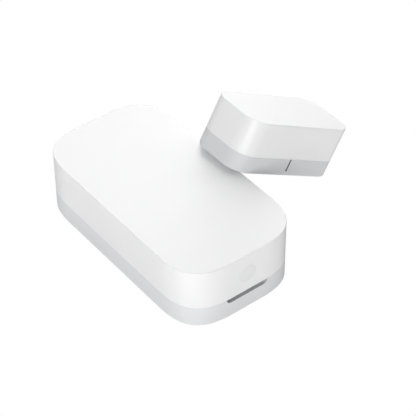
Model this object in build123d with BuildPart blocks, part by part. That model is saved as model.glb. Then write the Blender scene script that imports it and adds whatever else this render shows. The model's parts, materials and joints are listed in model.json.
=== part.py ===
from build123d import *
import math
import os

# Door contact sensor: a coin-cell sensor housing that stands on a flat face, and its
# magnet unit, which leans with one end on the table and its underside on the sensor's edge.
# Millimetres. +Z up, origin at the centre of the sensor's footprint, long side along X,
# button on the +X end, magnet unit on the +Y side.

os.makedirs("parts", exist_ok=True)

# ---- driving dimensions: the sensor housing ----
sensor_length = 41.0
sensor_width = 22.0
sensor_top = 11.2
seam_z = 3.77
seam_gap = 0.02
rim_z = 0.05
edge_round = 0.3
top_round = 0.12
rim_round = 0.12
cover_wall = 1.3
cover_roof = 1.2
base_wall = 1.2
base_floor = 1.0

# a housing corner is three tangent arcs: a wide one, a tight one and a wide one
corner_wide_radius = 12.95
corner_tight_radius = 5.52
corner_wide_turn = 15.24

# ---- driving dimensions: the magnet unit ----
magnet_length = 24.5
magnet_width = 11.0
magnet_top = 9.25
magnet_seam = 3.15
magnet_lean = 30.37
magnet_corner = 3.4
magnet_wall = 1.1
magnet_roof = 1.1
contact_gap = 0.02
cut_margin = 0.5

# ---- driving dimensions: adhesive ----
liner_thick = 0.06
pad_top = 0.6
pad_inset = 2.6
recess_inset = 2.4
magnet_pad_length = 16.6
magnet_pad_width = 7.0
magnet_pad_corner = 1.6
recess_margin = 0.2

# ---- driving dimensions: board and cell ----
board_bottom = 5.6
board_thick = 0.8
board_inset = 1.8
board_end = 18.0
cell_x = -8.0
cell_radius = 8.0
cell_bottom = 1.9
cell_height = 3.2
holder_inner = 8.2
holder_outer = 9.2
holder_flat = 8.7

# ---- driving dimensions: button and side switch ----
button_z = 7.25
button_radius = 1.55
button_hole_radius = 1.59
button_flange_radius = 1.8
button_flange = 0.55
button_edge = 0.08
flange_gap = 0.05
switch_depth = 3.4
switch_width = 4.7
plunger_reach = 0.55
plunger_width = 2.0
plunger_height = 0.8

# ---- driving dimensions: reed switch ----
reed_x = -7.5
reed_y = 7.5
reed_z = 7.45
reed_glass_length = 10.0
reed_glass_radius = 0.9
reed_bore_radius = 0.6
reed_seal = 1.1
blade_width = 0.6
blade_thick = 0.12
blade_gap = 0.01
blade_overlap = 1.2

# ---- sizes that follow ----
half_length = sensor_length / 2
half_width = sensor_width / 2
cover_ceiling = sensor_top - cover_roof
floor_top = pad_top + base_floor
board_top = board_bottom + board_thick
cell_top = cell_bottom + cell_height

lean_sin = math.sin(math.radians(magnet_lean))
lean_cos = math.cos(math.radians(magnet_lean))
# the low end's rounded rim touches the table, and the underside touches the sensor's edge
magnet_rim_z = (
    edge_round + contact_gap + (magnet_length / 2 - edge_round) * lean_sin - edge_round * lean_cos
)
magnet_rim_y = (
    (half_width - top_round) * lean_sin
    + (sensor_top - top_round) * lean_cos
    + top_round
    + contact_gap
    - magnet_rim_z * lean_cos
) / lean_sin
magnet_plane = Plane(
    origin=(0, magnet_rim_y - rim_z * lean_sin, magnet_rim_z - rim_z * lean_cos),
    x_dir=(0, lean_cos, -lean_sin),
    z_dir=(0, lean_sin, lean_cos),
)


def sensor_outline(inset=0.0):
    """The sensor's plan, shrunk all round by inset: each corner is a wide, a tight and a wide arc."""
    turn = math.radians(corner_wide_turn)
    wide_reach = corner_wide_radius * (math.sin(turn) + 1 - math.cos(turn))
    corner_reach = wide_reach + corner_tight_radius * (math.cos(turn) - math.sin(turn))
    with BuildSketch() as outline:
        with BuildLine():
            side = Line((0, half_width), (half_length - corner_reach, half_width))
            first = JernArc(side @ 1, side % 1, corner_wide_radius, -corner_wide_turn)
            second = JernArc(first @ 1, first % 1, corner_tight_radius, 2 * corner_wide_turn - 90)
            third = JernArc(second @ 1, second % 1, corner_wide_radius, -corner_wide_turn)
            Line(third @ 1, (half_length, 0))
            mirror(about=Plane.XZ)
            mirror(about=Plane.YZ)
        make_face()
        if inset:
            offset(amount=-inset)
    return outline.sketch


def magnet_outline(inset=0.0):
    """The magnet unit's plan, a plain rounded rectangle, shrunk all round by inset."""
    with BuildSketch() as outline:
        RectangleRounded(magnet_length - 2 * inset, magnet_width - 2 * inset, magnet_corner - inset)
    return outline.sketch


# =====================================================================
# Sensor housing
# =====================================================================

post_places = [(-15.8, -7.2), (-15.8, 7.2), (14.4, -7.2), (14.4, 7.2)]
post_radius = 1.4
stake_radius = 0.7
stake_head_radius = 0.95
stake_head_bottom = 5.1
stake_hole_radius = 0.8

finger_thick = 0.7
finger_top = 5.2
finger_width = 3.2
barb_reach = 0.25
barb_low = 3.9
barb_step = 0.1
barb_peak = 4.6
side_finger_x = 6.0
end_finger_y = 2.6
finger_clearance = 0.33
pocket_depth = 0.4
pocket_width = finger_width + 1

tongue_inset = 1.9
tongue_thick = 0.6
tongue_top = 5.0
tongue_bottom = 2.3
tongue_half_width = 6.0
tongue_end_span = 8.0
ledge_bottom = 4.3
ledge_clearance = 0.05
ledge_inset = base_wall + ledge_clearance

# ---- cover: white shell that carries the board ----
with BuildPart() as sensor_cover:
    with BuildSketch(Plane.XY.offset(seam_z + seam_gap)):
        add(sensor_outline())
    extrude(amount=sensor_top - seam_z - seam_gap)
    fillet(sensor_cover.faces().sort_by(Axis.Z)[-1].edges(), top_round)
    with BuildSketch(Plane.XY.offset(seam_z)):
        add(sensor_outline(cover_wall))
    extrude(amount=cover_ceiling - seam_z, mode=Mode.SUBTRACT)
    # posts stand on the roof, and their pins pass the board and end in flattened heads
    with BuildSketch(Plane.XY.offset(board_top)):
        with Locations(*post_places):
            Circle(post_radius)
    extrude(amount=cover_ceiling - board_top)
    with BuildSketch(Plane.XY.offset(stake_head_bottom)):
        with Locations(*post_places):
            Circle(stake_radius)
    extrude(amount=board_top - stake_head_bottom)
    with BuildSketch(Plane.XY.offset(stake_head_bottom)):
        with Locations(*post_places):
            Circle(stake_head_radius)
    extrude(amount=board_bottom - seam_gap - stake_head_bottom)
    # tongue behind the pry slot, hung from a ledge on the end wall
    with BuildSketch(Plane.XY.offset(tongue_bottom)):
        add(sensor_outline(tongue_inset))
        add(sensor_outline(tongue_inset + tongue_thick), mode=Mode.SUBTRACT)
        with Locations((half_length, 0)):
            Rectangle(tongue_end_span, 2 * tongue_half_width, mode=Mode.INTERSECT)
    extrude(amount=tongue_top - tongue_bottom)
    with BuildSketch(Plane.XY.offset(ledge_bottom)):
        add(sensor_outline(ledge_inset))
        add(sensor_outline(tongue_inset + tongue_thick), mode=Mode.SUBTRACT)
        with Locations((half_length, 0)):
            Rectangle(tongue_end_span, 2 * tongue_half_width, mode=Mode.INTERSECT)
    extrude(amount=tongue_top - ledge_bottom)
    # pockets that the snap fingers' barbs face
    with BuildSketch(Plane.XY.offset(barb_low)):
        with Locations((side_finger_x, 0)):
            Rectangle(pocket_width, sensor_width - 2 * (cover_wall - pocket_depth))
    extrude(amount=finger_top - barb_low, mode=Mode.SUBTRACT)
    with BuildSketch(Plane.XY.offset(barb_low)):
        with Locations(
            (-half_length + cover_wall, end_finger_y),
            (-half_length + cover_wall, -end_finger_y),
        ):
            Rectangle(2 * pocket_depth, pocket_width)
    extrude(amount=finger_top - barb_low, mode=Mode.SUBTRACT)
    # button hole
    with BuildSketch(Plane.YZ.offset(half_length - cover_wall - cut_margin)):
        with Locations((0, button_z)):
            Circle(button_hole_radius)
    extrude(amount=cover_wall + 2 * cut_margin, mode=Mode.SUBTRACT)
sensor_cover.part.label = "sensor_cover"
export_step(sensor_cover.part, "parts/sensor_cover.step")


def snap_finger():
    """Upright spring finger with an outward barb: root on the base's floor, barb towards +X."""
    with BuildPart() as finger:
        with BuildSketch(Plane.XZ):
            with BuildLine():
                Polyline(
                    (-finger_thick, floor_top),
                    (0, floor_top),
                    (0, barb_low + barb_step),
                    (barb_reach, barb_peak),
                    (0, finger_top),
                    (-finger_thick, finger_top),
                    close=True,
                )
            make_face()
        extrude(amount=finger_width / 2, both=True)
    return finger.part


finger_y = half_width - cover_wall - finger_clearance
finger_x = half_length - cover_wall - finger_clearance
finger_places = [
    Location((side_finger_x, finger_y, 0), (0, 0, 90)),
    Location((side_finger_x, -finger_y, 0), (0, 0, -90)),
    Location((-finger_x, end_finger_y, 0), (0, 0, 180)),
    Location((-finger_x, -end_finger_y, 0), (0, 0, 180)),
]

slot_half_width = 4.0
slot_depth = 0.84
slot_corner = 0.75
mark_width = 0.3
mark_depth = 0.25
mark_low = 0.9
cell_rail_y = 3.0
cell_rail_width = 0.8
cell_rail_length = 9.6

# ---- base: grey tray that the adhesive holds to the frame ----
with BuildPart() as sensor_base:
    with BuildSketch(Plane.XY.offset(rim_z)):
        add(sensor_outline())
    extrude(amount=seam_z - rim_z)
    fillet(sensor_base.faces().sort_by(Axis.Z)[0].edges(), rim_round)
    with BuildSketch(Plane.XY.offset(floor_top)):
        add(sensor_outline(base_wall))
    extrude(amount=seam_z - floor_top, mode=Mode.SUBTRACT)
    with BuildSketch(Plane.XY.offset(rim_z)):
        add(sensor_outline(recess_inset))
    extrude(amount=pad_top - rim_z, mode=Mode.SUBTRACT)
    # pry slot in the end wall's top edge
    with BuildSketch(Plane.YZ.offset(half_length - base_wall - cut_margin)):
        with Locations((0, seam_z)):
            RectangleRounded(2 * slot_half_width, 2 * slot_depth, slot_corner)
    extrude(amount=base_wall + 2 * cut_margin, mode=Mode.SUBTRACT)
    # alignment mark level with the reed switch, on the side that faces the magnet
    with BuildSketch(Plane.XY.offset(mark_low)):
        with Locations((reed_x, half_width)):
            Rectangle(mark_width, 2 * mark_depth)
    extrude(amount=seam_z - mark_low, mode=Mode.SUBTRACT)
    # rails under the cell
    with BuildSketch(Plane.XY.offset(floor_top)):
        with Locations((cell_x, cell_rail_y), (cell_x, -cell_rail_y)):
            Rectangle(cell_rail_length, cell_rail_width)
    extrude(amount=cell_bottom - contact_gap - floor_top)
    with Locations(*finger_places):
        add(snap_finger())
sensor_base.part.label = "sensor_base"
export_step(sensor_base.part, "parts/sensor_base.step")

# ---- adhesive pad and its release liner ----
with BuildPart() as adhesive_pad:
    with BuildSketch(Plane.XY.offset(liner_thick)):
        add(sensor_outline(pad_inset))
    extrude(amount=pad_top - liner_thick)
adhesive_pad.part.label = "adhesive_pad"
export_step(adhesive_pad.part, "parts/adhesive_pad.step")

with BuildPart() as release_liner:
    with BuildSketch():
        add(sensor_outline(pad_inset))
    extrude(amount=liner_thick)
release_liner.part.label = "release_liner"
export_step(release_liner.part, "parts/release_liner.step")

# ---- button cap: disc flush with the end wall, retained by its flange ----
flange_face = half_length - cover_wall - flange_gap
with BuildPart() as button_cap:
    with BuildSketch(Plane.YZ.offset(flange_face)):
        with Locations((0, button_z)):
            Circle(button_radius)
    extrude(amount=half_length - flange_face)
    fillet(button_cap.faces().sort_by(Axis.X)[-1].edges(), button_edge)
    with BuildSketch(Plane.YZ.offset(flange_face - button_flange)):
        with Locations((0, button_z)):
            Circle(button_flange_radius)
    extrude(amount=button_flange)
button_cap.part.label = "button_cap"
export_step(button_cap.part, "parts/button_cap.step")

# =====================================================================
# Board and its components
# =====================================================================

with BuildPart() as main_pcb:
    with BuildSketch(Plane.XY.offset(board_bottom)):
        add(sensor_outline(board_inset))
        with Locations((half_length, 0)):
            Rectangle(2 * (half_length - board_end), sensor_width, mode=Mode.SUBTRACT)
        with Locations(*post_places):
            Circle(stake_hole_radius, mode=Mode.SUBTRACT)
    extrude(amount=board_thick)
main_pcb.part.label = "main_pcb"
export_step(main_pcb.part, "parts/main_pcb.step")

radio_x = 6.2
radio_y = -2.6
radio_size = 5.0
radio_height = 0.85
radio_edge = 0.08
pin_mark_reach = 1.8
pin_mark_radius = 0.25
pin_mark_depth = 0.06
with BuildPart() as radio_chip:
    with BuildSketch(Plane.XY.offset(board_top)):
        with Locations((radio_x, radio_y)):
            Rectangle(radio_size, radio_size)
    extrude(amount=radio_height)
    chamfer(radio_chip.faces().sort_by(Axis.Z)[-1].edges(), radio_edge)
    # dimple beside pin one
    with BuildSketch(Plane.XY.offset(board_top + radio_height)):
        with Locations((radio_x - pin_mark_reach, radio_y + pin_mark_reach)):
            Circle(pin_mark_radius)
    extrude(amount=-pin_mark_depth, mode=Mode.SUBTRACT)
radio_chip.part.label = "radio_chip"
export_step(radio_chip.part, "parts/radio_chip.step")

# crystal: ceramic box with a smaller metal lid
crystal_y = 2.6
crystal_length = 3.2
crystal_width = 2.5
crystal_corner = 0.2
crystal_box_height = 0.5
crystal_lid_inset = 0.25
crystal_lid_height = 0.2
with BuildPart() as crystal:
    with BuildSketch(Plane.XY.offset(board_top)):
        with Locations((radio_x, crystal_y)):
            RectangleRounded(crystal_length, crystal_width, crystal_corner)
    extrude(amount=crystal_box_height)
    with BuildSketch(Plane.XY.offset(board_top + crystal_box_height)):
        with Locations((radio_x, crystal_y)):
            RectangleRounded(
                crystal_length - 2 * crystal_lid_inset,
                crystal_width - 2 * crystal_lid_inset,
                crystal_corner,
            )
    extrude(amount=crystal_lid_height)
crystal.part.label = "crystal"
export_step(crystal.part, "parts/crystal.step")

# small chips are 1.0 by 0.5 mm
chip_length = 1.0
chip_width = 0.5
capacitor_height = 0.5
resistor_height = 0.35
capacitor_pitch = 2.2
capacitor_row_gap = 10.6
bulk_capacitor_x = 0.8
bulk_capacitor_length = 1.2
bulk_capacitor_width = 2.0
resistor_x = 11.4
resistor_inner_y = 3.9
resistor_outer_y = 5.1
pull_up_x = 2.0
pull_up_y = 3.0

# two rows of capacitors and one bulk capacitor beside the radio chip
with BuildPart() as chip_capacitors:
    with BuildSketch(Plane.XY.offset(board_top)):
        with GridLocations(capacitor_pitch, capacitor_row_gap, 4, 2):
            Rectangle(chip_length, chip_width)
        with Locations((bulk_capacitor_x, 0)):
            Rectangle(bulk_capacitor_length, bulk_capacitor_width)
    extrude(amount=capacitor_height)
chip_capacitors.part.label = "chip_capacitors"
export_step(chip_capacitors.part, "parts/chip_capacitors.step")

with BuildPart() as chip_resistors:
    with BuildSketch(Plane.XY.offset(board_top)):
        for side in (-1, 1):
            with Locations(
                (resistor_x, side * resistor_inner_y),
                (resistor_x, side * resistor_outer_y),
                (pull_up_x, side * pull_up_y),
            ):
                Rectangle(chip_length, chip_width)
    extrude(amount=resistor_height)
chip_resistors.part.label = "chip_resistors"
export_step(chip_resistors.part, "parts/chip_resistors.step")

# meandering antenna trace on the end of the board away from the button
antenna_x = -17.4
antenna_pitch = 1.2
antenna_turns = 5
antenna_track = 0.35
antenna_run = 1.6
trace_thick = 0.05
antenna_start = -antenna_pitch * antenna_turns / 2
with BuildPart() as printed_antenna:
    with BuildSketch(Plane.XY.offset(board_top)):
        for turn in range(antenna_turns + 1):
            with Locations((antenna_x, antenna_start + turn * antenna_pitch)):
                Rectangle(antenna_run, antenna_track)
        for turn in range(antenna_turns):
            side = 1 if turn % 2 else -1
            bridge_x = antenna_x + side * (antenna_run - antenna_track) / 2
            with Locations((bridge_x, antenna_start + (turn + 0.5) * antenna_pitch)):
                Rectangle(antenna_track, antenna_pitch)
    extrude(amount=trace_thick)
printed_antenna.part.label = "printed_antenna"
export_step(printed_antenna.part, "parts/printed_antenna.step")

# LED: carrier with a resin block on it
led_x = 14.3
led_y = 3.6
led_length = 1.6
led_width = 0.8
led_carrier_height = 0.3
led_resin_length = 1.0
led_resin_width = 0.7
led_resin_height = 0.35
with BuildPart() as status_led:
    with BuildSketch(Plane.XY.offset(board_top)):
        with Locations((led_x, led_y)):
            Rectangle(led_length, led_width)
    extrude(amount=led_carrier_height)
    with BuildSketch(Plane.XY.offset(board_top + led_carrier_height)):
        with Locations((led_x, led_y)):
            Rectangle(led_resin_length, led_resin_width)
    extrude(amount=led_resin_height)
status_led.part.label = "status_led"
export_step(status_led.part, "parts/status_led.step")

# ---- side switch: housing, metal frame, snap dome and plunger ----
switch_front = board_end
switch_back = switch_front - switch_depth
switch_height = 2 * (button_z - board_top)
frame_thick = 0.15
cavity_depth = 1.6
cavity_height = 1.0
cavity_width = 3.2
dome_radius = 0.9
dome_thick = 0.08
frame_side_share = 0.6

with BuildPart() as switch_housing:
    with BuildSketch(Plane.YZ.offset(switch_back)):
        with Locations((0, button_z)):
            Rectangle(switch_width, switch_height)
    extrude(amount=switch_depth)
    with BuildSketch(Plane.YZ.offset(switch_front - cavity_depth)):
        with Locations((0, button_z)):
            Rectangle(cavity_width, cavity_height)
    extrude(amount=cavity_depth, mode=Mode.SUBTRACT)
switch_housing.part.label = "switch_housing"
export_step(switch_housing.part, "parts/switch_housing.step")

with BuildPart() as switch_frame:
    with BuildSketch(Plane.XY.offset(board_top + switch_height)):
        with Locations((switch_back + switch_depth / 2, 0)):
            Rectangle(switch_depth, switch_width + 2 * frame_thick)
    extrude(amount=frame_thick)
    with BuildSketch(Plane.XY.offset(board_top)):
        for side in (-1, 1):
            with Locations((switch_back + switch_depth / 2, side * (switch_width + frame_thick) / 2)):
                Rectangle(switch_depth * frame_side_share, frame_thick)
    extrude(amount=switch_height)
switch_frame.part.label = "switch_frame"
export_step(switch_frame.part, "parts/switch_frame.step")

plunger_head = 0.25
plunger_head_width = 2.8
plunger_depth = 0.6
plunger_back = switch_front - plunger_depth
plunger_corner = 0.2
head_clearance = 0.05
with BuildPart() as switch_plunger:
    with BuildSketch(Plane.YZ.offset(plunger_back)):
        with Locations((0, button_z)):
            RectangleRounded(plunger_width, plunger_height, plunger_corner)
    extrude(amount=switch_front + plunger_reach - plunger_back)
    # head that keeps the plunger in the housing
    with BuildSketch(Plane.YZ.offset(plunger_back - plunger_head)):
        with Locations((0, button_z)):
            Rectangle(plunger_head_width, cavity_height - 2 * head_clearance)
    extrude(amount=plunger_head)
switch_plunger.part.label = "switch_plunger"
export_step(switch_plunger.part, "parts/switch_plunger.step")

# shallow cap of spring metal behind the plunger
dome_rise = 0.2
dome_tip = plunger_back - plunger_head
dome_half_height = cavity_height / 2 - head_clearance
with BuildPart() as switch_dome:
    with BuildSketch(Plane.XY.offset(button_z - dome_half_height)):
        with BuildLine():
            front = ThreePointArc(
                (dome_tip - dome_rise, -dome_radius),
                (dome_tip, 0),
                (dome_tip - dome_rise, dome_radius),
            )
            back = ThreePointArc(
                (dome_tip - dome_rise - dome_thick, -dome_radius),
                (dome_tip - dome_thick, 0),
                (dome_tip - dome_rise - dome_thick, dome_radius),
            )
            Line(front @ 0, back @ 0)
            Line(front @ 1, back @ 1)
        make_face()
    extrude(amount=2 * dome_half_height)
switch_dome.part.label = "switch_dome"
export_step(switch_dome.part, "parts/switch_dome.step")

# ---- reed switch: glass tube, two blades and the second blade's lead ----
reed_end = reed_x - reed_glass_length / 2
reed_far_end = reed_x + reed_glass_length / 2
blade_slot = 0.05
blade_clearance = 0.02
blade_slot_height = 0.36
glass_end_round = 0.35
lead_reach = 1.8
lead_width = 0.5

with BuildPart() as reed_glass:
    with BuildSketch(Plane.YZ.offset(reed_end)):
        with Locations((reed_y, reed_z)):
            Circle(reed_glass_radius)
    extrude(amount=reed_glass_length)
    fillet(reed_glass.edges().filter_by(GeomType.CIRCLE), glass_end_round)
    with BuildSketch(Plane.YZ.offset(reed_end + reed_seal)):
        with Locations((reed_y, reed_z)):
            Circle(reed_bore_radius)
    extrude(amount=reed_glass_length - 2 * reed_seal, mode=Mode.SUBTRACT)
    # the blades pass the sealed ends
    with BuildSketch(Plane.YZ.offset(reed_end - cut_margin)):
        with Locations((reed_y, reed_z)):
            Rectangle(blade_width + blade_clearance, blade_slot_height)
    extrude(amount=reed_glass_length + 2 * cut_margin, mode=Mode.SUBTRACT)
reed_glass.part.label = "reed_glass"
export_step(reed_glass.part, "parts/reed_glass.step")

# fixed blade lies under the gap and its lead steps down to the board
fixed_top = reed_z - blade_gap / 2
moving_bottom = reed_z + blade_gap / 2
blade_tip = reed_x - blade_overlap / 2
with BuildPart() as reed_fixed_blade:
    with BuildSketch(Plane.XZ.offset(-(reed_y + blade_width / 2))):
        with BuildLine():
            Polyline(
                (blade_tip, fixed_top),
                (reed_far_end + lead_reach, fixed_top),
                (reed_far_end + lead_reach, board_top),
                (reed_far_end + lead_reach - lead_width, board_top),
                (reed_far_end + lead_reach - lead_width, fixed_top - blade_thick),
                (blade_tip, fixed_top - blade_thick),
                close=True,
            )
        make_face()
    extrude(amount=blade_width)
reed_fixed_blade.part.label = "reed_fixed_blade"
export_step(reed_fixed_blade.part, "parts/reed_fixed_blade.step")

blade_root = reed_end + reed_seal
with BuildPart() as reed_moving_blade:
    with BuildSketch(Plane.XY.offset(moving_bottom)):
        with Locations(((blade_root + reed_x + blade_overlap / 2) / 2, reed_y)):
            Rectangle(reed_x + blade_overlap / 2 - blade_root, blade_width)
    extrude(amount=blade_thick)
reed_moving_blade.part.label = "reed_moving_blade"
export_step(reed_moving_blade.part, "parts/reed_moving_blade.step")

with BuildPart() as reed_lead:
    with BuildSketch(Plane.XZ.offset(-(reed_y + blade_width / 2))):
        with BuildLine():
            Polyline(
                (blade_root - blade_slot, moving_bottom),
                (blade_root - blade_slot, moving_bottom + blade_thick),
                (reed_end - lead_reach, moving_bottom + blade_thick),
                (reed_end - lead_reach, board_top),
                (reed_end - lead_reach + lead_width, board_top),
                (reed_end - lead_reach + lead_width, moving_bottom),
                close=True,
            )
        make_face()
    extrude(amount=blade_width)
reed_lead.part.label = "reed_lead"
export_step(reed_lead.part, "parts/reed_lead.step")

# =====================================================================
# Battery
# =====================================================================

holder_bottom = 2.2
holder_gap_depth = 2.4
holder_gap_width = 6.0
clip_thick = 0.25
clip_width = 4.8
clip_foot = 2.2
clip_lift = 0.8
clip_bottom = cell_bottom + clip_lift

# ring under the board round the cell, cut flat at its sides, with a gap for the side clip
with BuildPart() as battery_holder:
    with BuildSketch(Plane.XY.offset(holder_bottom)):
        with Locations((cell_x, 0)):
            Circle(holder_outer)
            Rectangle(2 * holder_outer, 2 * holder_flat, mode=Mode.INTERSECT)
            Circle(holder_inner, mode=Mode.SUBTRACT)
        with Locations((cell_x + (holder_inner + holder_outer) / 2, 0)):
            Rectangle(holder_gap_depth, holder_gap_width, mode=Mode.SUBTRACT)
    extrude(amount=board_bottom - holder_bottom)
battery_holder.part.label = "battery_holder"
export_step(battery_holder.part, "parts/battery_holder.step")

# side clip: upright leaf beside the can with a foot soldered under the board
clip_x = cell_x + cell_radius + flange_gap
with BuildPart() as positive_contact:
    with BuildSketch(Plane.XZ.offset(-clip_width / 2)):
        with BuildLine():
            Polyline(
                (clip_x, clip_bottom),
                (clip_x, board_bottom),
                (clip_x + clip_foot, board_bottom),
                (clip_x + clip_foot, board_bottom - clip_thick),
                (clip_x + clip_thick, board_bottom - clip_thick),
                (clip_x + clip_thick, clip_bottom),
                close=True,
            )
        make_face()
    extrude(amount=clip_width)
positive_contact.part.label = "positive_contact"
export_step(positive_contact.part, "parts/positive_contact.step")

# three-armed leaf under the board that meets the cell's inner cap
leaf_arms = 3
leaf_hub_radius = 2.0
leaf_arm_reach = 2.6
leaf_arm_length = 4.4
leaf_arm_width = 1.4
leaf_boss_radius = 1.2
with BuildPart() as negative_contact:
    with BuildSketch(Plane.XY.offset(board_bottom - clip_thick)):
        with Locations((cell_x, 0)):
            Circle(leaf_hub_radius)
            with PolarLocations(leaf_arm_reach, leaf_arms):
                Rectangle(leaf_arm_length, leaf_arm_width)
    extrude(amount=clip_thick)
    with BuildSketch(Plane.XY.offset(cell_top + contact_gap)):
        with Locations((cell_x, 0)):
            Circle(leaf_boss_radius)
    extrude(amount=board_bottom - clip_thick - cell_top - contact_gap)
negative_contact.part.label = "negative_contact"
export_step(negative_contact.part, "parts/negative_contact.step")

can_wall = 0.25
gasket_wall = 0.35
gasket_drop = 0.15
cap_step = 0.6
crimp = 0.3
can_edge = 0.25
with BuildPart() as cell_can:
    with BuildSketch(Plane.XY.offset(cell_bottom)):
        with Locations((cell_x, 0)):
            Circle(cell_radius)
    extrude(amount=cell_height - crimp)
    fillet(cell_can.edges().filter_by(GeomType.CIRCLE), can_edge)
    with BuildSketch(Plane.XY.offset(cell_bottom + can_wall)):
        with Locations((cell_x, 0)):
            Circle(cell_radius - can_wall)
    extrude(amount=cell_height, mode=Mode.SUBTRACT)
cell_can.part.label = "cell_can"
export_step(cell_can.part, "parts/cell_can.step")

with BuildPart() as cell_gasket:
    with BuildSketch(Plane.XY.offset(cell_bottom + can_wall)):
        with Locations((cell_x, 0)):
            Circle(cell_radius - can_wall)
            Circle(cell_radius - can_wall - gasket_wall, mode=Mode.SUBTRACT)
    extrude(amount=cell_height - can_wall - gasket_drop)
cell_gasket.part.label = "cell_gasket"
export_step(cell_gasket.part, "parts/cell_gasket.step")

with BuildPart() as cell_cap:
    with BuildSketch(Plane.XY.offset(cell_bottom + can_wall)):
        with Locations((cell_x, 0)):
            Circle(cell_radius - can_wall - gasket_wall)
    extrude(amount=cell_height - can_wall)
    fillet(cell_cap.faces().sort_by(Axis.Z)[-1].edges(), cap_step)
cell_cap.part.label = "cell_cap"
export_step(cell_cap.part, "parts/cell_cap.step")

# =====================================================================
# Magnet unit: built on its own leaning plane, liner face at local z = 0
# =====================================================================

magnet_floor_top = pad_top + base_floor
magnet_ceiling = magnet_top - magnet_roof
magnet_axis = Axis(magnet_plane.origin, magnet_plane.z_dir)

with BuildPart() as magnet_cover:
    with BuildSketch(magnet_plane.offset(magnet_seam + seam_gap)):
        add(magnet_outline())
    extrude(amount=magnet_top - magnet_seam - seam_gap)
    fillet(magnet_cover.faces().sort_by(magnet_axis)[-1].edges(), top_round)
    with BuildSketch(magnet_plane.offset(magnet_seam)):
        add(magnet_outline(magnet_wall))
    extrude(amount=magnet_ceiling - magnet_seam, mode=Mode.SUBTRACT)
magnet_cover.part.label = "magnet_cover"
export_step(magnet_cover.part, "parts/magnet_cover.step")

collar_clearance = 0.05
collar_inset = magnet_wall + collar_clearance
collar_thick = 0.6
collar_top = 4.6
with BuildPart() as magnet_base:
    with BuildSketch(magnet_plane.offset(rim_z)):
        add(magnet_outline())
    extrude(amount=magnet_seam - rim_z)
    fillet(magnet_base.faces().sort_by(magnet_axis)[0].edges(), edge_round)
    # collar that stands inside the cover
    with BuildSketch(magnet_plane.offset(magnet_floor_top)):
        add(magnet_outline(collar_inset))
    extrude(amount=collar_top - magnet_floor_top)
    with BuildSketch(magnet_plane.offset(magnet_floor_top)):
        add(magnet_outline(collar_inset + collar_thick))
    extrude(amount=collar_top - magnet_floor_top, mode=Mode.SUBTRACT)
    with BuildSketch(magnet_plane.offset(rim_z)):
        RectangleRounded(
            magnet_pad_length + 2 * recess_margin,
            magnet_pad_width + 2 * recess_margin,
            magnet_pad_corner + recess_margin,
        )
    extrude(amount=pad_top - rim_z, mode=Mode.SUBTRACT)
    # alignment mark on the face that is turned to the sensor in use
    with BuildSketch(magnet_plane.offset(mark_low)):
        with Locations((0, -magnet_width / 2)):
            Rectangle(mark_width, 2 * mark_depth)
    extrude(amount=magnet_seam - mark_low, mode=Mode.SUBTRACT)
magnet_base.part.label = "magnet_base"
export_step(magnet_base.part, "parts/magnet_base.step")

bar_length = 18.0
bar_width = 5.0
bar_height = 4.5
bar_edge = 0.2
with BuildPart() as bar_magnet:
    with BuildSketch(magnet_plane.offset(magnet_floor_top)):
        Rectangle(bar_length, bar_width)
    extrude(amount=bar_height)
    chamfer(bar_magnet.edges(), bar_edge)
bar_magnet.part.label = "bar_magnet"
export_step(bar_magnet.part, "parts/bar_magnet.step")

spacer_length = 16.0
spacer_width = 4.4
with BuildPart() as magnet_spacer:
    with BuildSketch(magnet_plane.offset(magnet_floor_top + bar_height)):
        Rectangle(spacer_length, spacer_width)
    extrude(amount=magnet_ceiling - magnet_floor_top - bar_height)
magnet_spacer.part.label = "magnet_spacer"
export_step(magnet_spacer.part, "parts/magnet_spacer.step")

with BuildPart() as magnet_adhesive_pad:
    with BuildSketch(magnet_plane.offset(liner_thick)):
        RectangleRounded(magnet_pad_length, magnet_pad_width, magnet_pad_corner)
    extrude(amount=pad_top - liner_thick)
magnet_adhesive_pad.part.label = "magnet_adhesive_pad"
export_step(magnet_adhesive_pad.part, "parts/magnet_adhesive_pad.step")

with BuildPart() as magnet_release_liner:
    with BuildSketch(magnet_plane):
        RectangleRounded(magnet_pad_length, magnet_pad_width, magnet_pad_corner)
    extrude(amount=liner_thick)
magnet_release_liner.part.label = "magnet_release_liner"
export_step(magnet_release_liner.part, "parts/magnet_release_liner.step")
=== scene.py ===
"""Door contact sensor with its magnet unit leaning on it: looks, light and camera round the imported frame."""
import json
import math
import random

import bmesh
import bpy
from mathutils import Matrix, Vector


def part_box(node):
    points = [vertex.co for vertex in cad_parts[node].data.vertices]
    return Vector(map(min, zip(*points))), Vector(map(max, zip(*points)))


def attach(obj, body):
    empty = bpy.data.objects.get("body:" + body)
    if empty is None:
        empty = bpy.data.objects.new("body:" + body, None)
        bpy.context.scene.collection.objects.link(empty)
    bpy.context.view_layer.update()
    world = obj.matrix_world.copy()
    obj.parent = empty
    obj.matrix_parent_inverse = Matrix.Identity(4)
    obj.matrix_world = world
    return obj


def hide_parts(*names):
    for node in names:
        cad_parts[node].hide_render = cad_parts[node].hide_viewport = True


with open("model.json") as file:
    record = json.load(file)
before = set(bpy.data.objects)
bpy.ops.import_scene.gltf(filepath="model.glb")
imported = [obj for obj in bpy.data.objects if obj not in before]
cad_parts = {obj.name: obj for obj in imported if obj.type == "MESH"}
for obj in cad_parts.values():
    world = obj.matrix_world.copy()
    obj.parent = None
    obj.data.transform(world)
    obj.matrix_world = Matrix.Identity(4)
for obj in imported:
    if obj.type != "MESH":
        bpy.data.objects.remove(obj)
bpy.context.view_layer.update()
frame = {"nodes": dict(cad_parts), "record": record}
nodes = frame["nodes"]
record = frame["record"]
MM = 0.001

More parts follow.
